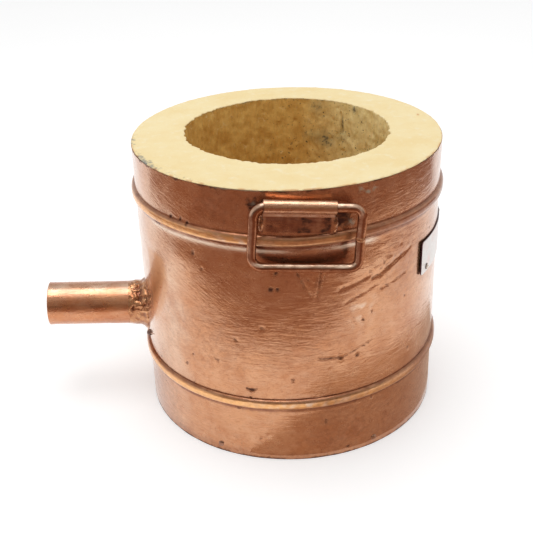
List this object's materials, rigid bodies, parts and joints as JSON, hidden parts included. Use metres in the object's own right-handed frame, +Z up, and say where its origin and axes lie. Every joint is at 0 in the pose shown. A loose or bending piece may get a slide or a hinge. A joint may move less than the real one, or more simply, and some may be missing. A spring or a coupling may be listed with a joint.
{
  "type": "gas forge",
  "caption": "Open-top gas melting forge: a plated sheet drum with raised beads, a cast refractory lining round a crucible chamber, a side burner pipe and drop handles.",
  "frame": {"origin": "centre of the base's flat underside, on the drum's axis", "axes": "+Z up along the drum's axis; -X out towards the burner pipe, whose axis rises 2.2 degrees from it; -Y towards the front handle"},
  "size_m": [0.3437, 0.2742, 0.239],
  "materials": {
    "plated_sheet": "copper-plated sheet steel, worn and rubbed",
    "plated_rivet": "copper-plated rivet, dark round the head",
    "plated_pipe": "copper-plated tube, drawn along its length",
    "plated_rod": "copper-plated rod, rubbed bright on top",
    "plated_clip": "copper-plated strip, smoky where it was welded",
    "plated_weld": "copper-plated weld bead, lumpy",
    "castable": "cast refractory, trowelled on top and rough inside",
    "ceramic_fibre": "ceramic fibre insulation, hidden behind the lining",
    "plate_metal": "plain satin plate with no lettering",
    "plate_rivet": "small domed rivet"
  },
  "bodies": {
    "furnace": {"shell": "plated_sheet", "seam_rivets": "plated_rivet", "base_pan": "plated_sheet", "base_rivets": "plated_rivet", "insulating_board": "ceramic_fibre", "insulating_sleeve": "ceramic_fibre", "hearth_slab": "castable", "lining_wall": "castable", "burner_pipe": "plated_pipe", "pipe_weld": "plated_weld", "front_clip": "plated_clip", "front_clip_welds": "plated_weld", "rear_clip": "plated_clip", "rear_clip_welds": "plated_weld", "nameplate": "plate_metal", "nameplate_rivets": "plate_rivet"},
    "front_handle": {"front_bail": "plated_rod", "front_bail_weld": "plated_weld"},
    "rear_handle": {"rear_bail": "plated_rod", "rear_bail_weld": "plated_weld"},
    "stand": {"crucible_stand": "castable"}
  },
  "joints": [
    {"name": "front_bail_hinge", "type": "hinge", "parent": "furnace", "child": "front_handle", "pos_m": [0, -0.13215, 0.2273], "axis": [-0.9976, 0, 0.0698], "range_deg": [-1.5, 207]},
    {"name": "rear_bail_hinge", "type": "hinge", "parent": "furnace", "child": "rear_handle", "pos_m": [0, 0.13215, 0.2273], "axis": [1, 0, 0], "range_deg": [-1.5, 207]},
    {"name": "crucible_stand_lift", "type": "slide", "parent": "furnace", "child": "stand", "axis": [0, 0, 1], "range_m": [0, 0.2]}
  ]
}
